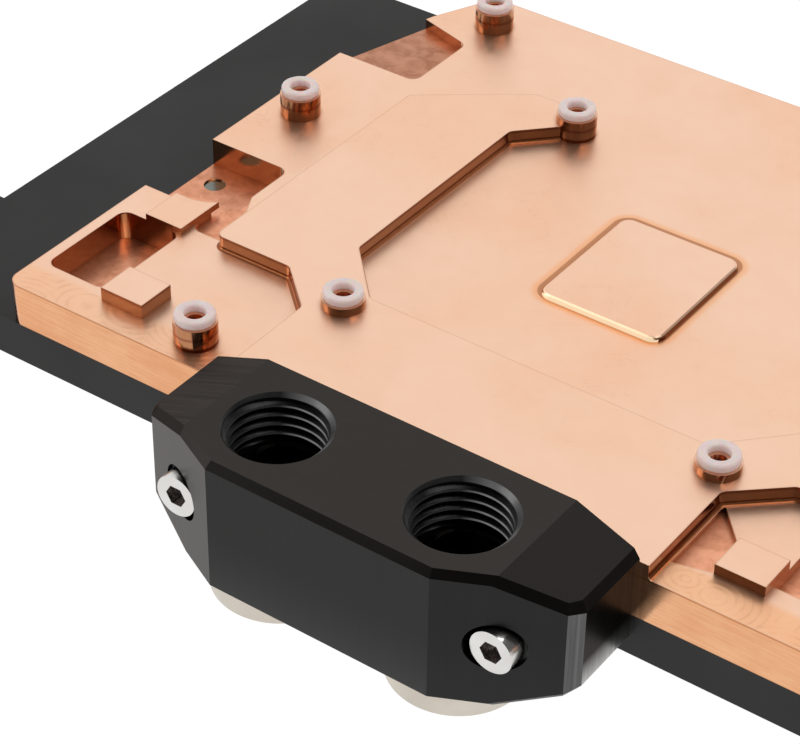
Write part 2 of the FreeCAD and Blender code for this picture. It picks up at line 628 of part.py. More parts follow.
def make_cover():
    body = new_body("cover")
    left = f"{LEFT_EDGE} - cover_side"
    far = "plate_far - cover_inset"
    tab = "-plate_near + cover_tab_far"
    outline = [
        (f"{left} - cover_tab", "-plate_near"), (RIGHT_EDGE, "-plate_near"), (RIGHT_EDGE, far),
        (left, far), (left, tab), (f"{left} - cover_tab", tab),
    ]
    extrude(body, "plate", COVER_BOTTOM, "cover_thick", loops=[outline])
    outer = outline[:4] + outline[5:]
    round_corners(body, "plate_corners", "plate_round", outer, COVER_BOTTOM, BASE_BOTTOM)
    screws = COVER_SCREWS + [RECESS_SCREW]
    cut(body, "holes", BASE_BOTTOM, "cover_thick", up=False, circles=[(x, y, "screw_through") for x, y in screws])
    cut(body, "head_seats", COVER_BOTTOM, "head_sink", circles=[(x, y, "head_bore") for x, y in screws])
    cut(body, "seal_groove", BASE_BOTTOM, "seal_deep", up=False, boxes=seal_ring("0", "seal_groove"))
    return body


def make_main_seal():
    body = new_body("main_seal")
    edge = "(seal_groove - seal_cord) / 2"
    rings = seal_ring(edge, f"{edge} + seal_cord")
    extrude(body, "ring", f"{BASE_BOTTOM} - seal_deep", "seal_deep", boxes=rings)
    return body


def make_passage_seal(side, port):
    body = new_body("passage_seal_" + side)
    edge = "oval_gap + (oval_groove - oval_cord) / 2"
    rings = passage_ring(port, edge, f"{edge} + oval_cord")
    extrude(body, "ring", "plate_near", "oval_deep", boxes=rings, role="XZ_Plane")
    return body


def make_terminal():
    body = new_body("terminal_block")
    half = [
        ("terminal_half", "terminal_top - slope_drop"), (CREASE_HALF, "terminal_top"),
        (f"-{CREASE_HALF}", "terminal_top"), ("-terminal_half", "terminal_top - slope_drop"),
        ("-terminal_half", f"{TERMINAL_BOTTOM} + slope_drop"), (f"-{CREASE_HALF}", TERMINAL_BOTTOM),
        (CREASE_HALF, TERMINAL_BOTTOM), ("terminal_half", f"{TERMINAL_BOTTOM} + slope_drop"),
    ]
    profile = [(f"-terminal_shift + {x}", z) for x, z in half]
    extrude(body, "block", "plate_near", "terminal_deep", loops=[profile], role="XZ_Plane")
    for name, side in (("left", "-"), ("right", "+")):
        corner = [
            (FRONT_HALF, "terminal_deep"), (STRIP_HALF, "strip_y"), ("terminal_half", "end_y"),
            ("(terminal_half + end_y)", "end_y"), ("(terminal_half + end_y)", "(terminal_deep + end_y)"),
            (FRONT_HALF, "(terminal_deep + end_y)"),
        ]
        loop = [(f"-terminal_shift {side} {x}", f"-plate_near - {y}") for x, y in corner]
        cut(body, name + "_facets", TERMINAL_BOTTOM, "terminal_high", loops=[loop])
    bevel_terminal(body)
    ports = [(x, PORT_Y, "port_core") for x in (LEFT_PORT, RIGHT_PORT)]
    necks = [(x, PORT_Y, "port_neck") for x in (LEFT_PORT, RIGHT_PORT)]
    cut(body, "top_ports", "terminal_top", "port_deep", circles=ports, up=False)
    cut(body, "bottom_ports", TERMINAL_BOTTOM, "port_deep", circles=ports)
    cut(body, "port_necks", TERMINAL_BOTTOM, "terminal_high", circles=necks)
    top = number("terminal_top")
    bottom = number(TERMINAL_BOTTOM)
    radius = number("port_core / 2")

    def mouth(edge, points):
        round_edge = hasattr(edge.Curve, "Radius") and abs(edge.Curve.Radius - radius) < 1e-4
        return round_edge and (abs(points[0].z - top) < 1e-4 or abs(points[0].z - bottom) < 1e-4)

    dress(body, "port_mouths", "Chamfer", "Size", "(port_mouth - port_core) / 2", mouth)
    water = [passage_box(port, "0", "passage_round") for port in (LEFT_PORT, RIGHT_PORT)]
    cut(body, "water_passages", "plate_near", "port_back", boxes=water, role="XZ_Plane")
    for name, port in (("left", LEFT_PORT), ("right", RIGHT_PORT)):
        rings = passage_ring(port, "oval_gap", "oval_gap + oval_groove")
        cut(body, name + "_seal_groove", "plate_near", "oval_deep", boxes=rings, role="XZ_Plane")
    through = [(x, z, "screw_through") for x, z in SIDE_SCREWS]
    heads = [(x, z, "end_head_bore") for x, z in SIDE_SCREWS]
    cut(body, "screw_holes", "plate_near", "terminal_deep", circles=through, role="XZ_Plane")
    cut(body, "head_seats", "plate_near + end_seat", "terminal_deep - end_seat", circles=heads, role="XZ_Plane")
    return body


def bevel_terminal(body):
    """Bevels the front and end edges of the top and bottom."""
    back = number("-plate_near")
    middle = number("-terminal_shift")
    centre = number(f"(terminal_top + {TERMINAL_BOTTOM}) / 2")
    level = number("terminal_high / 2 - slope_drop") - 1e-3
    crease = number(CREASE_HALF) + 1e-3

    def outer(edge, points):
        at_back = all(abs(point.y - back) < 1e-4 for point in points)
        low = min(abs(point.z - centre) for point in points) < level
        along_y = abs(points[0].x - points[-1].x) < 1e-4
        on_crease = along_y and abs(points[0].x - middle) < crease
        upright = (points[0].z - centre) * (points[-1].z - centre) < 0
        return not (at_back or low or on_crease or upright)

    dress(body, "edge_bevel", "Chamfer", "Size", "terminal_bevel", outer)


def make_screw(name, head_height, shank_length):
    """A cap screw standing on its head seat at the origin, shank upwards."""
    body = new_body(name)
    outline = [
        ("0", f"-{head_height}"), ("head_dia / 2", f"-{head_height}"), ("head_dia / 2", "0"),
        ("screw_dia / 2", "0"), ("screw_dia / 2", shank_length), ("0", shank_length),
    ]
    revolve(body, "turned", outline)
    cut(body, "socket", f"-{head_height}", "hex_deep", loops=[hexagon("hex_flats")])
    return body


def make_group(name, shapes):
    group = doc.addObject("Part::Feature", name)
    group.Label = name
    group.Shape = Part.makeCompound(shapes)
    return group


def screw_copies(screw, places, axis_turn, to_point):
    """Copies of a screw at the given places, each turned about X first."""
    copies = []
    for x, y in places:
        copy = screw.Shape.copy()
        turn = FreeCAD.Rotation(FreeCAD.Vector(1, 0, 0), axis_turn)
        copy.Placement = FreeCAD.Placement(FreeCAD.Vector(*to_point(number(x), number(y))), turn)
        copies.append(copy)
    return copies


def make_screws():
    low_screw = make_screw("low_screw", "head_low", "screw_long")
    long_screw = make_screw("long_screw", "end_head", "end_screw_long")
    seat = number(f"{COVER_BOTTOM} + head_sink")
    front = number("-plate_near - end_seat")
    cover = screw_copies(low_screw, COVER_SCREWS + [RECESS_SCREW], 0, lambda x, y: (x, y, seat))
    terminal = screw_copies(long_screw, SIDE_SCREWS, -90, lambda x, z: (x, front, z))
    return [make_group("cover_screws", cover), make_group("terminal_screws", terminal)]


def make_plug(side, port):
    """A plug closing a lower port: head below, shank up into the thread, seal groove in the head."""
    body = new_body("plug_" + side)
    groove = "ring_inner / 2"
    outline = [
        ("0", "-plug_head"), ("plug_head_dia / 2 - plug_bevel", "-plug_head"),
        ("plug_head_dia / 2", "-plug_head + plug_bevel"), ("plug_head_dia / 2", "0"),
        (f"{groove} + ring_cord", "0"), (f"{groove} + ring_cord", "-ring_sink"), (groove, "-ring_sink"),
        (groove, "0"), ("plug_shank / 2", "0"), ("plug_shank / 2", "plug_long"), ("0", "plug_long"),
    ]
    revolve(body, "turned", outline)
    cut(body, "socket", "-plug_head", "plug_hex_deep", loops=[hexagon("plug_hex")])
    return place(body, port, PORT_Y, TERMINAL_BOTTOM)


def make_plug_seal(side, port):
    body = new_body("plug_seal_" + side)
    inner = "ring_inner / 2"
    outer = f"{inner} + ring_cord"
    revolve(body, "ring", [(inner, "-ring_sink"), (outer, "-ring_sink"), (outer, "0"), (inner, "0")])
    return place(body, port, PORT_Y, TERMINAL_BOTTOM)


def make_spacer(name, x, y):
    body = new_body("spacer_" + name)
    inner = "spacer_bore / 2"
    outer = "spacer_dia / 2"
    revolve(body, "ring", [(inner, "0"), (outer, "0"), (outer, "spacer_thick"), (inner, "spacer_thick")])
    return place(body, x, y, "0")


def export(bodies):
    doc.recompute()
    for item in doc.Objects:
        if "Invalid" in item.State or "Error" in item.State:
            raise ValueError(f"{item.Name} failed: {item.State}")
    for item in bodies:
        if item.Shape.isNull() or not item.Shape.isValid():
            raise ValueError(f"{item.Label} has no valid shape")
    os.makedirs("parts", exist_ok=True)
    for item in bodies:
        item.Shape.exportStep(os.path.join("parts", item.Label + ".step"))
        print(item.Label, len(item.Shape.Solids), round(item.Shape.Volume, 1))


parts = [make_cold_plate(), make_cover(), make_main_seal(), make_terminal()]
for side_name, port_x in (("left", LEFT_PORT), ("right", RIGHT_PORT)):
    parts.append(make_passage_seal(side_name, port_x))
    parts.append(make_plug(side_name, port_x))
    parts.append(make_plug_seal(side_name, port_x))
for spacer_name, (spacer_x, spacer_y) in BOSSES.items():
    parts.append(make_spacer(spacer_name, spacer_x, spacer_y))
parts.extend(make_screws())
export(parts)
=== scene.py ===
"""Dresses a graphics card water block: copper plate, black cover and terminal, seals, screws and spacers.

Metres. The frame's origin is the centre of the four screw bosses round the processor pad, +Z out of the
plate, +X along the terminal and +Y from the terminal to the far edge.
"""
import json
import math

import bmesh
import bpy
from mathutils import Matrix, Vector


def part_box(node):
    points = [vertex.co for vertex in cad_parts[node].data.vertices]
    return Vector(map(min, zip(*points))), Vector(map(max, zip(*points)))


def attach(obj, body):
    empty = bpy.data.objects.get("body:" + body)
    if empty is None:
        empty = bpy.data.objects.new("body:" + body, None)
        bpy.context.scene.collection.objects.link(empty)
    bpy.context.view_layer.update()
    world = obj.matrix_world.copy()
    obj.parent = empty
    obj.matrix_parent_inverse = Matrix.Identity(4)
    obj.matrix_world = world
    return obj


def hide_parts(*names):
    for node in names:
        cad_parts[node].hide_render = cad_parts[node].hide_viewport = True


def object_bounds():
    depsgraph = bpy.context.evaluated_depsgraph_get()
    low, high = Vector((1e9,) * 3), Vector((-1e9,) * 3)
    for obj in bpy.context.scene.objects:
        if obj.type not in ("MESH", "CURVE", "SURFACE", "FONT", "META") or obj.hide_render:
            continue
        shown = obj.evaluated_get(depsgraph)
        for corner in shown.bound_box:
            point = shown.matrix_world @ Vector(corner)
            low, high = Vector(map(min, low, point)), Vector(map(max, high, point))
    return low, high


bl_info = {
    "name": "Graphics card water block",
    "version": (1, 0, 0),
    "blender": (4, 5, 0),
    "location": "3D View > Sidebar > Water Block",
    "description": "Finishes the copper plate, the terminal and the small pieces of a water block",
    "category": "Object",
}

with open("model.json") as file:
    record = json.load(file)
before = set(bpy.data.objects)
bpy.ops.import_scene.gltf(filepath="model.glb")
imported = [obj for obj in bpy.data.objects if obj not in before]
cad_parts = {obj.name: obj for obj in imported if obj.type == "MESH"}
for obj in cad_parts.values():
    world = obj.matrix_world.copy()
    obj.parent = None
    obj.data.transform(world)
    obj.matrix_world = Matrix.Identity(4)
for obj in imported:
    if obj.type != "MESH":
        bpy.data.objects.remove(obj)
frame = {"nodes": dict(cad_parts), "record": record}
CAD_BOX = [list(corner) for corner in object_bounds()]
MM = 0.001
WHITE = (1.0, 1.0, 1.0)

# The copper plate: levels of its raised frame and its base, its near edge, the frame's middle line, where
# the rounded foot of the frame ends, the pad's half size without its rounded corners, and the middle of the
# line round the pad, a little left of the pad's own and beyond it
FRAME_LEVEL = -1.15 * MM
BASE_LEVEL = -3.15 * MM
NEAR_EDGE = -45.75 * MM
FRAME_MIDDLE = -0.7 * MM
FOOT_FAR = 29.5 * MM
FOOT_HALF = 49.5 * MM
PAD_HALF = (7.07 * MM, 8.75 * MM)
PAD_LINE_MIDDLE = (-1.45 * MM, 2.55 * MM)

# The terminal: its middle in x and z, and its two screws' distance from it, level and front face
TERMINAL_MIDDLE = -1.95 * MM
TERMINAL_LEVEL = -6.1 * MM
SCREW_HALF = 21.9 * MM
SCREW_LEVEL = -6.3 * MM
SCREW_FACE = -62.75 * MM

# The corners between the terminal's screw facets and its narrow end facets: how far out from its middle
# and at which y they lie, how far round that they are looked for, and how far they move outwards, away
# from the front and towards mid height
CORNER_HALF = 27.1 * MM
CORNER_FRONT = -59.3 * MM
CORNER_REACH = 1.1 * MM
CORNER_MOVE = (1.64 * MM, 0.81 * MM, 0.64 * MM)

# The grey for which the terminal's shades are written; its colour divided by this tints them
TERMINAL_GREY = 0.04

SPACERS = sorted(name for name in frame["nodes"] if name.startswith("spacer_"))
SEALS = ["main_seal", "passage_seal_left", "passage_seal_right", "plug_seal_left", "plug_seal_right"]
PLUGS = ["plug_left", "plug_right"]
SCREWS = ["cover_screws", "terminal_screws"]


# Shader maths

class Socket:
    """An output socket that can be used in plain arithmetic."""

    def __init__(self, graph, link):
        self.graph = graph
        self.link = link

    def math(self, operation, *values):
        return self.graph.node("ShaderNodeMath", {"operation": operation}, dict(enumerate(values)))

    def __add__(self, other):
        return self.math("ADD", self, other)

    def __radd__(self, other):
        return self.math("ADD", other, self)

    def __sub__(self, other):
        return self.math("SUBTRACT", self, other)

    def __rsub__(self, other):
        return self.math("SUBTRACT", other, self)

    def __mul__(self, other):
        return self.math("MULTIPLY", self, other)

    def __rmul__(self, other):
        return self.math("MULTIPLY", other, self)

    def __truediv__(self, other):
        return self.math("DIVIDE", self, other)

    def __abs__(self):
        return self.math("ABSOLUTE", self)

    def __pow__(self, other):
        return self.math("POWER", self, other)

    def sin(self):
        return self.math("SINE", self)

    def sign(self):
        return self.math("SIGN", self)

    def least(self, other):
        return self.math("MINIMUM", self, other)

    def most(self, other):
        return self.math("MAXIMUM", self, other)


class Graph:
    """The node tree of one material or world."""

    def __init__(self, owner):
        owner.use_nodes = True
        self.tree = owner.node_tree
        self.tree.nodes.clear()

    def node(self, kind, settings=None, inputs=None, output=0):
        """Adds a node: settings first, then links or values, colours as three; gives one of its outputs."""
        made = self.tree.nodes.new(kind)
        for name, value in (settings or {}).items():
            setattr(made, name, value)
        for name, value in (inputs or {}).items():
            socket = made.inputs[name]
            if isinstance(value, Socket):
                self.tree.links.new(value.link, socket)
            elif socket.type == "RGBA":
                socket.default_value = (*value, 1.0)
            else:
                socket.default_value = value
        return Socket(self, made.outputs[output])

    def colours(self, factor, first, second, blend="MIX"):
        return self.node("ShaderNodeMix", {"data_type": "RGBA", "blend_type": blend}, {
            0: factor, 6: first, 7: second}, output=2)

    def multiply(self, colour, tint, factor=1.0):
        """The colour times the tint, as far as the factor says."""
        return self.colours(factor, colour, tint, "MULTIPLY")

    def position(self):
        return self.node("ShaderNodeTexCoord", output=3)

    def normal(self):
        return self.axes(self.node("ShaderNodeNewGeometry", output=1))

    def rays(self, *kinds):
        """A socket for each kind of ray, 1 where such a ray looks."""
        made = self.tree.nodes.new("ShaderNodeLightPath")
        return [Socket(self, made.outputs[f"Is {kind} Ray"]) for kind in kinds]

    def axes(self, vector):
        made = self.tree.nodes.new("ShaderNodeSeparateXYZ")
        self.tree.links.new(vector.link, made.inputs[0])
        return [Socket(self, made.outputs[index]) for index in range(3)]

    def join(self, x, y, z):
        return self.node("ShaderNodeCombineXYZ", None, {0: x, 1: y, 2: z})

    def grey(self, value):
        return self.join(value, value, value)

    def noise(self, vector, scale, detail=3.0, roughness=0.5, distortion=0.0):
        return self.node("ShaderNodeTexNoise", None, {
            "Vector": vector, "Scale": scale, "Detail": detail, "Roughness": roughness,
            "Distortion": distortion})

    def cells(self, vector, scale):
        return self.node("ShaderNodeTexVoronoi", None, {"Vector": vector, "Scale": scale})

    def stretch(self, vector, x, y, z):
        return self.node("ShaderNodeVectorMath", {"operation": "MULTIPLY"}, {0: vector, 1: (x, y, z)})

    def band(self, value, low, high, soft=0.0003):
        """1 between low and high, falling to 0 over a soft margin."""
        rising = self.node("ShaderNodeMapRange", {"interpolation_type": "SMOOTHSTEP"}, {
            "Value": value, "From Min": low - soft, "From Max": low + soft})
        falling = self.node("ShaderNodeMapRange", {"interpolation_type": "SMOOTHSTEP"}, {
            "Value": value, "From Min": high - soft, "From Max": high + soft, "To Min": 1.0, "To Max": 0.0})
        return rising * falling

    def spread(self, value, low, high, first, last):
        return self.node("ShaderNodeMapRange", None, {
            "Value": value, "From Min": low, "From Max": high, "To Min": first, "To Max": last})

    def nearness(self, distance, inside):
        """0 in the open, towards 1 in corners, or at sharp edges when it looks from inside."""
        settings = {"inside": inside, "only_local": True, "samples": 6}
        return 1.0 - self.node("ShaderNodeAmbientOcclusion", settings, {"Distance": distance}, output=1)

    def bump(self, height, strength, distance):
        return self.node("ShaderNodeBump", None, {
            "Height": height, "Strength": strength, "Distance": distance})

    def surface(self, **inputs):
        named = {key.replace("_", " "): value for key, value in inputs.items()}
        self.finish(self.node("ShaderNodeBsdfPrincipled", None, named))

    def finish(self, shader, kind="ShaderNodeOutputMaterial"):
        made = self.tree.nodes.new(kind)
        self.tree.links.new(shader.link, made.inputs["Surface"])


def new_material(name):
    material = bpy.data.materials.new(name)
    return material, Graph(material)


def copper_material(size):
    """Bare milled copper: pale open faces, painted shade on walls and in pockets, painted glints, swirls
    near the terminal.
    """
    material, graph = new_material("milled_copper")
    place = graph.position()
    x, y, z = graph.axes(place)
    tilt = graph.normal()
    side = 1.0 - graph.spread(abs(tilt[2]), 0.35, 0.75, 0.0, 1.0)
    up = 1.0 - side
    clouds = graph.noise(place, 38.0, 4.0, 0.5, 0.4)
    spots = graph.noise(place, 420.0, 3.0, 0.6, 0.3)
    stained = [channel * factor for channel, factor in zip(size.copper, (0.985, 0.89, 0.82))]
    colour = graph.colours(graph.spread(clouds, 0.42, 0.68, 0.0, 0.9), size.copper, stained)

    # Painted shade on walls: darker where they face away from the lit side and under the frame's rim
    wall = graph.band(y, NEAR_EDGE + 0.1 * MM, 200.0 * MM, 0.05 * MM) * side
    rim = graph.band(z, FRAME_LEVEL - 0.4 * MM, FRAME_LEVEL, 0.1 * MM)
    facing = graph.spread(tilt[0] * 0.58 - tilt[1] * 0.82, -0.2, 0.6, 1.0, 0.62)
    lit_wall = graph.join(0.80 * facing, 0.57 * facing, 0.41 * facing)
    colour = graph.multiply(colour, graph.colours(rim, lit_wall, (0.34, 0.20, 0.15)), wall)

    # Painted highlight and shade on the rounded foot of the frame walls: a bright line above a dark one
    foot = graph.band(z, BASE_LEVEL + 0.002 * MM, BASE_LEVEL + 0.5 * MM, 0.002 * MM)
    foot = foot * graph.band(tilt[2], 0.06, 0.985, 0.01)
    foot = foot * graph.band(y, NEAR_EDGE, FOOT_FAR, 0.2 * MM)
    foot = foot * graph.band(abs(x - FRAME_MIDDLE), 0.0, FOOT_HALF, 0.1 * MM)
    foot_highlight_and_shade = graph.colours(graph.band(tilt[2], 0.3, 0.62, 0.05), (0.36, 0.17, 0.09), (0.95, 0.66, 0.42))
    colour = graph.multiply(colour, foot_highlight_and_shade, foot)

    # Painted shade on the floors of pockets and recesses, spotted and darker towards the far side
    sunk = (1.0 - graph.spread(z, BASE_LEVEL - 0.6 * MM, BASE_LEVEL - 0.3 * MM, 0.0, 1.0)) * up
    mottled_shade = graph.colours(
        graph.spread(spots, 0.4, 0.62, 0.0, 1.0), (0.90, 0.64, 0.54), (0.70, 0.45, 0.35))
    depth = graph.spread(y, -20.0 * MM, 8.0 * MM, 1.12, 0.66)
    colour = graph.multiply(colour, graph.multiply(mottled_shade, graph.grey(depth)), sunk)

    # Brushed near side with a fine dark line under its edge
    outer = side * (1.0 - wall)
    streaks = graph.noise(graph.stretch(place, 0.04, 0.04, 1.0), 5200.0, 3.0, 0.65)
    blotches = graph.noise(place, 160.0, 3.0, 0.6)
    brushed = graph.spread(streaks * 0.6 + blotches * 0.4, 0.4, 0.62, 0.0, 1.0)
    colour = graph.multiply(colour, (0.88, 0.72, 0.55), outer)
    colour = graph.multiply(colour, (0.90, 0.80, 0.74), outer * brushed)
    side_line = graph.band(z, BASE_LEVEL - 0.22 * MM, BASE_LEVEL - 0.06 * MM, 0.04 * MM) * outer

    # Painted shade round the foot of the processor pad: a warm darker ring and a dark line
    across = (abs(x - PAD_LINE_MIDDLE[0]) - PAD_HALF[0]).most(0.0)
    along = (abs(y - PAD_LINE_MIDDLE[1]) - PAD_HALF[1]).most(0.0)
    reach = (across ** 2.0 + along ** 2.0) ** 0.5
    on_base = graph.band(z, BASE_LEVEL - 0.1 * MM, BASE_LEVEL + 0.1 * MM, 0.02 * MM)
    pad_halo_shade = graph.band(reach, 0.0, 3.1 * MM, 0.5 * MM) * on_base
    colour = graph.multiply(colour, (1.0, 0.78, 0.56), pad_halo_shade * 0.8)
    pad_shade_line = graph.band(reach, 1.2 * MM, 2.4 * MM, 0.14 * MM) * on_base

    # Painted shade: sharp edges and corners are darkened; edges that face the terminal stay bright
    front_edge = graph.band(tilt[1], -0.92, -0.2, 0.05) * graph.band(tilt[2], 0.3, 0.97, 0.05) * (1.0 - foot)
    edges = graph.spread(graph.nearness(0.25 * MM, True), 0.1, 0.5, 0.0, 0.42) * (1.0 - front_edge)
    corners = graph.spread(graph.nearness(0.7 * MM, False), 0.1, 0.55, 0.0, 0.5)

    # Circular tool marks on the ledges beside the terminal, the right one warmer
    ledges = graph.band(y, NEAR_EDGE, -41.2 * MM, 0.6 * MM) * on_base
    ledge_tint = graph.colours(
        graph.spread(x, -5.0 * MM, 5.0 * MM, 0.0, 1.0), (1.0, 0.93, 0.84), (1.0, 0.86, 0.70))
    colour = graph.multiply(colour, ledge_tint, ledges)
    cells = graph.cells(graph.stretch(place, 1.0, 1.2, 0.0), 90.0)
    arcs = (cells * 70.0 + clouds * 9.0).sin() * ledges * graph.spread(spots, 0.35, 0.6, 0.3, 1.0)
    veins = graph.noise(place, 75.0, 4.0, 0.55, 1.6)
    veins = graph.band(veins, 0.497, 0.503, 0.005) * graph.spread(clouds, 0.45, 0.6, 0.0, 1.0) * up

    # Painted shade round the pad, on edges and in corners, with the dark line under the near side's edge and
    # the tool marks and veins, all in dark copper
    marks = (side_line * 0.7).most(pad_shade_line * 0.72).most(edges).most(corners)
    marks = marks.most(graph.spread(arcs, 0.2, 1.0, 0.0, 0.17)).most(veins * 0.12)
    colour = graph.colours(marks, colour, (0.38, 0.14, 0.055))

    # Painted highlights, given off as glow: edges that face the terminal, the near side of the pad, and the
    # upright corners of hollows
    pad_side = graph.band(x, -9.9 * MM, 7.6 * MM, 0.1 * MM) * graph.band(y, -9.0 * MM, -7.0 * MM, 0.2 * MM)
    pad_side = pad_side * graph.band(tilt[1], -1.1, -0.6, 0.05)
    corner = graph.spread(tilt[0] * 0.707 - tilt[1] * 0.707, 0.92, 0.985, 0.0, 1.0) * wall
    corner = corner * graph.spread(z, BASE_LEVEL - 0.3 * MM, BASE_LEVEL - 0.1 * MM, 1.0, 0.0)
    near_block = graph.spread(x, 5.0 * MM, 15.0 * MM, 0.35, 1.0)
    glint = (front_edge * 0.6 * near_block).most(pad_side * 0.85)
    glow = graph.join(glint + corner * 0.5, glint * 0.77 + corner * 0.2, glint * 0.5 + corner * 0.08)

    rough = size.copper_roughness * up + 0.16 * side + graph.spread(spots, 0.3, 0.7, -0.04, 0.04)
    sweep = graph.noise(graph.stretch(place, 1.0, 0.2, 1.0), 1300.0, 2.0, 0.5)
    height = arcs * 0.6 + sweep * up * 0.5 + streaks * outer * 1.2
    graph.surface(Base_Color=colour, Metallic=1.0, Roughness=rough,
                  Emission_Color=glow, Emission_Strength=1.0, Normal=graph.bump(height, 0.22, 0.00004))
    return material


def cover_material(size):
    """Matte black acetal with a fine moulded grain."""
    material, graph = new_material("cover_black")
    place = graph.position()
    clouds = graph.noise(place, 40.0, 3.0)
    grain = graph.noise(place, 4200.0, 2.0, 0.7)
    light = [channel * 1.25 for channel in size.cover]
    colour = graph.colours(graph.spread(clouds, 0.35, 0.65, 0.0, 1.0), size.cover, light)
    rough = graph.spread(clouds, 0.3, 0.7, 0.5, 0.62)
    graph.surface(Base_Color=colour, Roughness=rough, Specular_IOR_Level=0.4,
                  Normal=graph.bump(grain, 0.3, 0.00003))
    return material


def terminal_material(size):
    """Black anodised finish, milled, with painted light and shade: each kind of face has the brightness it
    shows under the lamps.
    """
    material, graph = new_material("terminal_black")
    place = graph.position()
    z = graph.axes(place)[2]
    tilt = graph.normal()
    # Masks of the kinds of face; level means upright walls
    level = graph.band(tilt[2], -0.2, 0.2, 0.02)
    front = graph.band(tilt[1], -1.1, -0.96, 0.01)
    facet_left = graph.band(tilt[0], -0.55, -0.35, 0.02) * level
    facet_right = graph.band(tilt[0], 0.35, 0.55, 0.02) * level
    strips = graph.band(abs(tilt[0]), 0.7, 0.92, 0.02) * level
    ends = graph.band(abs(tilt[0]), 0.96, 1.1, 0.01)
    top = graph.band(tilt[2], 0.97, 1.1, 0.01)
    slope = graph.band(tilt[2], 0.88, 0.96, 0.01)
    slope_left = graph.band(tilt[0], -0.6, -0.2, 0.05) * slope
    bevel = graph.band(tilt[2], 0.5, 0.85, 0.03)
    rise = graph.spread(z, -15.6 * MM, -4.0 * MM, 1.0, 0.0)
    lit_end = graph.spread(z, -12.0 * MM, -8.0 * MM, 1.0, 0.0)
    # Painted light and shade: how bright each kind of face looks under the lamps, lighter low on the front
    # and low on the ends
    shade = front * (0.037 + 0.022 * rise ** 2.0) + strips * 0.11 + ends * (0.034 + 0.54 * lit_end)
    shade = shade + facet_left * 0.15 + facet_right * (0.024 + 0.006 * rise)
    shade = shade + top * 0.037 + slope * 0.026 + slope_left * 0.014 + bevel * 0.024
    along = graph.noise(graph.stretch(place, 0.02, 1.0, 0.02), 2600.0, 3.0, 0.65)
    upright = graph.noise(graph.stretch(place, 1.0, 1.0, 0.02), 1500.0, 3.0, 0.65)
    streaks = upright * level + along * (1.0 - level)
    contrast = 0.025 + 0.22 * (slope_left + strips + ends).least(1.0)
    shade = shade * (1.0 + contrast * graph.spread(streaks, 0.35, 0.65, -1.0, 1.0)) + 0.002
    warmth = 1.0 - level
    warm = graph.join(shade * (1.0 + 0.10 * warmth), shade, shade * (1.0 - 0.07 * warmth))
    colour = graph.multiply(warm, [channel / TERMINAL_GREY for channel in size.terminal])
    rough = graph.spread(graph.noise(place, 60.0, 3.0), 0.3, 0.7, 0.24, 0.34)
    marks = streaks + graph.noise(place, 5200.0, 2.0, 0.6) * 0.25
    graph.surface(Base_Color=colour, Metallic=1.0, Roughness=rough, Specular_Tint=(0.55, 0.53, 0.52),
                  Normal=graph.bump(marks, 0.12, 0.00003))
    return material


def thread_material(size, ports, top):
    """The cut threads, with painted highlights on their bevelled mouths and crests on the right."""
    material, graph = new_material("port_thread")
    place = graph.position()
    x, y, z = graph.axes(place)
    (left, row), (right, _) = [port["pos_m"][:2] for port in ports]
    # Across and along from the middle of the nearer port
    from_middle = x - (left + right) / 2
    across = (abs(from_middle) - (right - left) / 2) * from_middle.sign()
    along = y - row
    reach = (across ** 2.0 + along ** 2.0) ** 0.5
    aim = (across * 0.82 + along * 0.58) / reach
    # Painted highlight: the crests and the mouth glow and are lighter on the right, where the left lamp
    # meets them
    lit = graph.spread(aim, 0.0, 0.5, 0.1, 1.0) * graph.spread(aim, 0.9, 1.0, 1.0, 0.3)
    crest = graph.band(reach, 0.0, size.thread_minor / 2 + 0.08 * MM, 0.05 * MM)
    mouth = graph.band(z, top - size.thread_bevel * 0.9, top + 1.0 * MM, 0.1 * MM)
    glint = crest.most(mouth * 0.55) * lit
    turned = graph.noise(graph.stretch(place, 0.2, 0.2, 1.0), 4000.0, 2.0, 0.6)
    shade = graph.spread(turned, 0.35, 0.65, 0.014, 0.022) * (1.0 + 3.0 * glint)
    rough = graph.spread(turned, 0.3, 0.7, 0.24, 0.34)
    graph.surface(Base_Color=graph.grey(shade), Metallic=1.0, Roughness=rough,
                  Emission_Color=graph.grey(glint * 0.16), Emission_Strength=1.0,
                  Normal=graph.bump(turned, 0.1, 0.00002))
    return material


def steel_material():
    """Bright stainless steel, turned, with painted shade in the sockets and dark cut tips."""
    material, graph = new_material("bright_steel")
    place = graph.position()
    x, y, z = graph.axes(place)
    fine = graph.noise(place, 3200.0, 3.0, 0.6)
    clouds = graph.noise(place, 300.0, 2.0)
    across = abs(x - TERMINAL_MIDDLE) - SCREW_HALF
    reach = (across ** 2.0 + (z - SCREW_LEVEL) ** 2.0) ** 0.5
    # Painted shade in the screw sockets, full on faces turned to the front
    socket = graph.band(reach, -1.0, 1.5 * MM, 0.02 * MM)
    socket = socket * graph.band(y, SCREW_FACE + 0.15 * MM, -50.0 * MM, 0.05 * MM)
    socket = socket * (0.55 + 0.45 * graph.band(graph.normal()[1], -1.1, -0.9, 0.02))
    tip = graph.band(z, -7.6 * MM, -7.0 * MM, 0.05 * MM) * graph.band(y, -30.0 * MM, 0.0, 1.0 * MM)
    colour = graph.colours(clouds, (0.76, 0.75, 0.73), (0.64, 0.62, 0.60))
    socket_shade = graph.colours(
        graph.spread(fine, 0.4, 0.6, 0.0, 1.0), (0.10, 0.085, 0.078), (0.30, 0.25, 0.23))
    colour = graph.colours(socket, colour, socket_shade)
    colour = graph.colours(tip, colour, (0.20, 0.21, 0.19))
    rough = graph.spread(clouds, 0.3, 0.7, 0.16, 0.26)
    graph.surface(Base_Color=colour, Metallic=1.0, Roughness=rough, Normal=graph.bump(fine, 0.15, 0.00002))
    return material


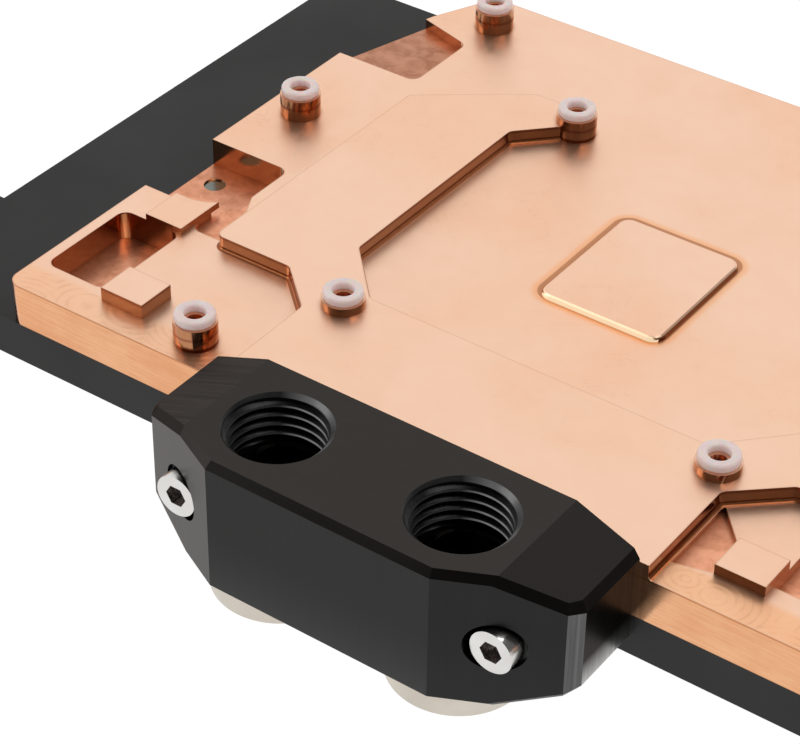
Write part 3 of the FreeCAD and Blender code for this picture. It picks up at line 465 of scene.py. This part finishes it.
def nickel_material():
    """Satin nickel plate with a faint warm tone."""
    material, graph = new_material("satin_nickel")
    place = graph.position()
    clouds = graph.noise(place, 160.0, 3.0)
    fine = graph.noise(place, 3800.0, 3.0, 0.6)
    colour = graph.colours(clouds, (0.66, 0.61, 0.53), (0.56, 0.51, 0.44))
    rough = graph.spread(clouds, 0.3, 0.7, 0.3, 0.4)
    graph.surface(Base_Color=colour, Metallic=1.0, Roughness=rough, Normal=graph.bump(fine, 0.2, 0.00002))
    return material


def nylon_material():
    """Translucent white nylon, with a faint painted glow."""
    material, graph = new_material("white_nylon")
    place = graph.position()
    clouds = graph.noise(place, 500.0, 2.0)
    fine = graph.noise(place, 4000.0, 2.0)
    colour = graph.colours(clouds, (0.82, 0.72, 0.70), (0.76, 0.63, 0.60))
    rough = graph.spread(clouds, 0.3, 0.7, 0.28, 0.4)
    # The faint emission is a painted glow that lightens the nylon
    graph.surface(Base_Color=colour, Roughness=rough, Subsurface_Weight=0.7, Subsurface_Scale=0.0015,
                  Emission_Color=colour, Emission_Strength=0.14, Normal=graph.bump(fine, 0.15, 0.00002))
    return material


def rubber_material():
    """Black nitrile rubber."""
    material, graph = new_material("seal_rubber")
    place = graph.position()
    clouds = graph.noise(place, 300.0, 3.0)
    fine = graph.noise(place, 3000.0, 3.0)
    colour = graph.colours(clouds, (0.02, 0.02, 0.02), (0.035, 0.034, 0.033))
    rough = graph.spread(clouds, 0.3, 0.7, 0.6, 0.75)
    graph.surface(Base_Color=colour, Roughness=rough, Normal=graph.bump(fine, 0.25, 0.00003))
    return material


def paint(piece, material):
    piece.data.materials.clear()
    piece.data.materials.append(material)


# Sizes and colours that a user would change

class BlockSizes(bpy.types.PropertyGroup):
    copper: bpy.props.FloatVectorProperty(
        name="Copper", description="Colour of the bare copper", subtype="COLOR",
        default=(0.93, 0.622, 0.452), min=0.0, max=1.0)
    copper_roughness: bpy.props.FloatProperty(
        name="Copper roughness", description="How satin the milled copper is", subtype="FACTOR",
        default=0.38, min=0.1, max=0.6)
    cover: bpy.props.FloatVectorProperty(
        name="Cover", description="Colour of the cover", subtype="COLOR",
        default=(0.007, 0.006, 0.0055), min=0.0, max=1.0)
    terminal: bpy.props.FloatVectorProperty(
        name="Terminal", description="Colour of the terminal", subtype="COLOR",
        default=(TERMINAL_GREY, TERMINAL_GREY, TERMINAL_GREY), min=0.0, max=0.2)
    thread_pitch: bpy.props.FloatProperty(
        name="Thread pitch", description="Pitch of the port threads", subtype="DISTANCE", unit="LENGTH",
        default=1.337 * MM, min=0.5 * MM, max=3 * MM)
    thread_major: bpy.props.FloatProperty(
        name="Thread outer diameter", description="Diameter at the roots of the port threads",
        subtype="DISTANCE", unit="LENGTH", default=13.157 * MM, min=8 * MM, max=20 * MM)
    thread_minor: bpy.props.FloatProperty(
        name="Thread inner diameter", description="Diameter at the crests of the port threads",
        subtype="DISTANCE", unit="LENGTH", default=11.5 * MM, min=7 * MM, max=19 * MM)
    thread_bevel: bpy.props.FloatProperty(
        name="Port bevel", description="Width of the bevel round a port's mouth", subtype="DISTANCE",
        unit="LENGTH", default=0.7 * MM, min=0.1 * MM, max=2 * MM)
    spacer_round: bpy.props.FloatProperty(
        name="Rounded spacers", description="Radius of the moulded edges of a spacer", subtype="DISTANCE",
        unit="LENGTH", default=0.38 * MM, min=0.02 * MM, max=0.6 * MM)
    head_round: bpy.props.FloatProperty(
        name="Rounded heads", description="Radius of the edges of the terminal screws", subtype="DISTANCE",
        unit="LENGTH", default=0.25 * MM, min=0.02 * MM, max=0.5 * MM)
    edge_width: bpy.props.FloatProperty(
        name="Broken edge", description="Width of the fine bevel on sharp edges", subtype="DISTANCE",
        unit="LENGTH", default=0.18 * MM, min=0.02 * MM, max=0.4 * MM)


def soften(piece, width, segments=2):
    """Breaks the sharp edges of a piece with a fine bevel."""
    weld = piece.modifiers.new("merge_seams", "WELD")
    weld.merge_threshold = 1e-6
    bevel = piece.modifiers.new("broken_edges", "BEVEL")
    bevel.width = width
    bevel.segments = segments
    bevel.limit_method = "ANGLE"
    bevel.angle_limit = math.radians(35)
    bevel.harden_normals = True
    bevel.use_clamp_overlap = True


class WATERBLOCK_OT_copper(bpy.types.Operator):
    """Finishes the copper plate"""
    bl_idname = "waterblock.copper"
    bl_label = "Copper plate"

    def execute(self, context):
        size = context.scene.waterblock
        plate = frame["nodes"]["cold_plate"]
        paint(plate, copper_material(size))
        soften(plate, size.edge_width)
        return {"FINISHED"}


class WATERBLOCK_OT_cover(bpy.types.Operator):
    """Finishes the cover"""
    bl_idname = "waterblock.cover"
    bl_label = "Cover"

    def execute(self, context):
        paint(frame["nodes"]["cover"], cover_material(context.scene.waterblock))
        return {"FINISHED"}


def thread_wall(builder, centre, top, bottom, pitch, mouth_radius, root_radius, crest_radius, core_radius):
    """Adds the threaded wall of a port, from its bevelled mouth down to the shoulder at its core radius.

    Crests and roots are flat over a small share of half the pitch on each side.
    """
    turns = 96
    rows = 72
    flat = 0.12
    rings = []
    for row in range(rows + 1):
        depth = (top - bottom) * row / rows
        z = top - depth
        ring = []
        for step in range(turns):
            angle = 2 * math.pi * step / turns
            phase = (depth / pitch + step / turns) % 1.0
            rise = abs(2 * phase - 1)
            flank = min(max((rise - flat) / (1 - 2 * flat), 0.0), 1.0)
            radius = crest_radius + (root_radius - crest_radius) * flank
            radius = max(radius, mouth_radius - depth)
            if row == rows:
                radius = core_radius
            ring.append(builder.verts.new((
                centre[0] + radius * math.cos(angle), centre[1] + radius * math.sin(angle), z)))
        rings.append(ring)
    for upper, lower in zip(rings, rings[1:]):
        for step in range(turns):
            after = (step + 1) % turns
            face = builder.faces.new((upper[step], lower[step], lower[after], upper[after]))
            face.smooth = True
            face.material_index = 1
            face.normal_flip()


class WATERBLOCK_OT_terminal(bpy.types.Operator):
    """Finishes the port terminal and cuts the threads of its two open ports"""
    bl_idname = "waterblock.terminal"
    bl_label = "Port terminal"

    def execute(self, context):
        size = context.scene.waterblock
        node = frame["nodes"]["terminal_block"]
        low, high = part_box("terminal_block")
        middle = (high[0] + low[0]) / 2
        top = high[2]
        mounts = {mount["name"]: mount for mount in frame["record"]["mounts"]}
        ports = [mounts[name] for name in ("port_left", "port_right")]
        builder = bmesh.new()
        builder.from_mesh(node.data)
        bmesh.ops.remove_doubles(builder, verts=builder.verts, dist=1e-7)
        core = ports[0]["dims"]["r_mm"] * MM
        bevel = size.thread_bevel
        bottom = top - bevel - ports[0]["dims"]["length_mm"] * MM
        # The plain walls of the open ports make room for the threaded ones
        slack = 1e-5
        walls = []
        for port in ports:
            x, y = port["pos_m"][:2]
            for face in builder.faces:
                spans = [math.hypot(vert.co.x - x, vert.co.y - y) for vert in face.verts]
                levels = [vert.co.z for vert in face.verts]
                round_port = max(spans) < core + bevel + slack and min(spans) > core - slack
                if round_port and min(levels) > bottom - slack and abs(face.normal.z) < 0.9:
                    walls.append(face)
        bmesh.ops.delete(builder, geom=walls, context="FACES")
        # The narrow end facets start further out along the wide facets and the sloped ends
        for vert in builder.verts:
            side = math.copysign(1.0, vert.co.x - middle)
            level = math.copysign(1.0, vert.co.z - TERMINAL_LEVEL)
            off = math.hypot(abs(vert.co.x - middle) - CORNER_HALF, vert.co.y - CORNER_FRONT)
            if off < CORNER_REACH:
                vert.co += Vector((side * CORNER_MOVE[0], CORNER_MOVE[1], -level * CORNER_MOVE[2]))
        for face in builder.faces:
            face.smooth = False
        for port in ports:
            thread_wall(builder, port["pos_m"][:2], top, bottom, size.thread_pitch, core + bevel,
                        size.thread_major / 2, size.thread_minor / 2, core)
        mesh = bpy.data.meshes.new("terminal_body")
        builder.to_mesh(mesh)
        builder.free()
        body = bpy.data.objects.new("terminal_body", mesh)
        context.scene.collection.objects.link(body)
        mesh.materials.append(terminal_material(size))
        mesh.materials.append(thread_material(size, ports, top))
        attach(body, "root")
        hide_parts("terminal_block")
        return {"FINISHED"}


class WATERBLOCK_OT_small_pieces(bpy.types.Operator):
    """Finishes the screws, plugs, spacers and seals"""
    bl_idname = "waterblock.small_pieces"
    bl_label = "Screws, plugs, spacers and seals"

    def execute(self, context):
        size = context.scene.waterblock
        groups = (
            (SCREWS, steel_material()), (PLUGS, nickel_material()), (SPACERS, nylon_material()),
            (SEALS, rubber_material()))
        for names, material in groups:
            for name in names:
                paint(frame["nodes"][name], material)
        soften(frame["nodes"]["terminal_screws"], size.head_round, 3)
        for name in SPACERS:
            soften(frame["nodes"][name], size.spacer_round, 4)
        for name in PLUGS:
            soften(frame["nodes"][name], size.edge_width, 2)
        return {"FINISHED"}


def add_lamp(name, place, energy):
    """A square white lamp, half a metre wide, that points at the frame's origin."""
    lamp = bpy.data.lights.new(name, "AREA")
    lamp.shape = "RECTANGLE"
    lamp.size = 0.5
    lamp.size_y = 0.5
    lamp.energy = energy
    holder = bpy.data.objects.new(name, lamp)
    holder.location = place
    holder.rotation_euler = (-Vector(place)).to_track_quat("-Z", "Y").to_euler()
    bpy.context.scene.collection.objects.link(holder)


def add_camera():
    """Looks from the near right, elevation 37 degrees, as a 117 mm lens on a 36 mm frame."""
    azimuth = math.radians(35.222)
    elevation = math.radians(37.399)
    roll = math.radians(0.8355)
    flat = math.cos(elevation)
    forward = Vector((-math.sin(azimuth) * flat, math.cos(azimuth) * flat, -math.sin(elevation)))
    level = Vector((math.cos(azimuth), math.sin(azimuth), 0.0))
    upward = level.cross(forward)
    right = level * math.cos(roll) + upward * math.sin(roll)
    upward = right.cross(forward)
    turn = Matrix((right, upward, -forward)).transposed().to_4x4()
    data = bpy.data.cameras.new("camera")
    data.sensor_width = 36.0
    focal_pixels = 2608.4
    picture_width = 800.0
    data.lens = focal_pixels * data.sensor_width / picture_width
    data.clip_start = 0.01
    data.clip_end = 10.0
    camera = bpy.data.objects.new("camera", data)
    camera.matrix_world = Matrix.Translation((0.12958, -0.23564, 0.18785)) @ turn
    bpy.context.scene.collection.objects.link(camera)
    bpy.context.scene.camera = camera


def floor_material():
    """White paper that reads white to the camera and keeps a faint shadow."""
    material, graph = new_material("white_floor")
    place = graph.position()
    clouds = graph.noise(place, 8.0, 2.0)
    colour = graph.colours(clouds, (0.86, 0.86, 0.86), (0.88, 0.88, 0.88))
    shader = graph.node("ShaderNodeBsdfPrincipled", None, {
        "Base Color": colour, "Roughness": 0.8, "Specular IOR Level": 0.0})
    camera_ray, glossy_ray = graph.rays("Camera", "Glossy")
    seen = camera_ray.most(glossy_ray)
    glow = graph.node("ShaderNodeEmission", None, {"Color": WHITE, "Strength": 1.06})
    mixed = graph.node("ShaderNodeMixShader", None, {0: seen * 0.95, 1: shader, 2: glow})
    graph.finish(mixed)
    return material


class WATERBLOCK_OT_stage(bpy.types.Operator):
    """Builds the floor, the lights and the camera"""
    bl_idname = "waterblock.stage"
    bl_label = "Stage"

    def execute(self, context):
        scene = context.scene
        low = CAD_BOX[0][2]
        mesh = bpy.data.meshes.new("floor")
        reach = 3.0
        corners = [(-reach, -reach, low), (reach, -reach, low), (reach, reach, low), (-reach, reach, low)]
        mesh.from_pydata(corners, [], [(0, 1, 2, 3)])
        floor = bpy.data.objects.new("floor", mesh)
        scene.collection.objects.link(floor)
        paint(floor, floor_material())
        world = bpy.data.worlds.new("studio")
        scene.world = world
        graph = Graph(world)
        camera_ray, glossy_ray, clear_ray = graph.rays("Camera", "Glossy", "Transmission")
        x, y, _ = graph.axes(graph.node("ShaderNodeTexCoord"))
        # The white backdrop stands beyond the far edge, and the room on the near side is dim
        away = y * 0.817 - x * 0.577
        backdrop_light = graph.spread(away, 0.1, 0.55, 0.13, 1.0)
        strength = 0.4 * (1.0 - glossy_ray) + backdrop_light * glossy_ray
        strength = strength.most(camera_ray).most(clear_ray)
        backdrop = graph.node("ShaderNodeBackground", None, {"Color": WHITE, "Strength": strength})
        graph.finish(backdrop, "ShaderNodeOutputWorld")
        add_lamp("softbox_above", (0.3, 0.1, 0.9), 2.5)
        add_lamp("softbox_left", (-0.8, -0.5, 0.5), 2.0)
        add_camera()
        scene.view_settings.view_transform = "Standard"
        return {"FINISHED"}


class WATERBLOCK_PT_panel(bpy.types.Panel):
    """Lists the sizes and the steps"""
    bl_idname = "WATERBLOCK_PT_panel"
    bl_label = "Water block"
    bl_space_type = "VIEW_3D"
    bl_region_type = "UI"
    bl_category = "Water Block"

    def draw(self, context):
        size = context.scene.waterblock
        for name in BlockSizes.__annotations__:
            self.layout.prop(size, name)
        for step in STEPS:
            self.layout.operator(step.bl_idname)


STEPS = (WATERBLOCK_OT_copper, WATERBLOCK_OT_cover, WATERBLOCK_OT_terminal, WATERBLOCK_OT_small_pieces,
         WATERBLOCK_OT_stage)
CLASSES = (BlockSizes, *STEPS, WATERBLOCK_PT_panel)


def register():
    for item in CLASSES:
        bpy.utils.register_class(item)
    bpy.types.Scene.waterblock = bpy.props.PointerProperty(type=BlockSizes)


def unregister():
    del bpy.types.Scene.waterblock
    for item in reversed(CLASSES):
        bpy.utils.unregister_class(item)


def main():
    register()
    bpy.ops.waterblock.copper()
    bpy.ops.waterblock.cover()
    bpy.ops.waterblock.terminal()
    bpy.ops.waterblock.small_pieces()
    bpy.ops.waterblock.stage()


if __name__ == "__main__":
    main()
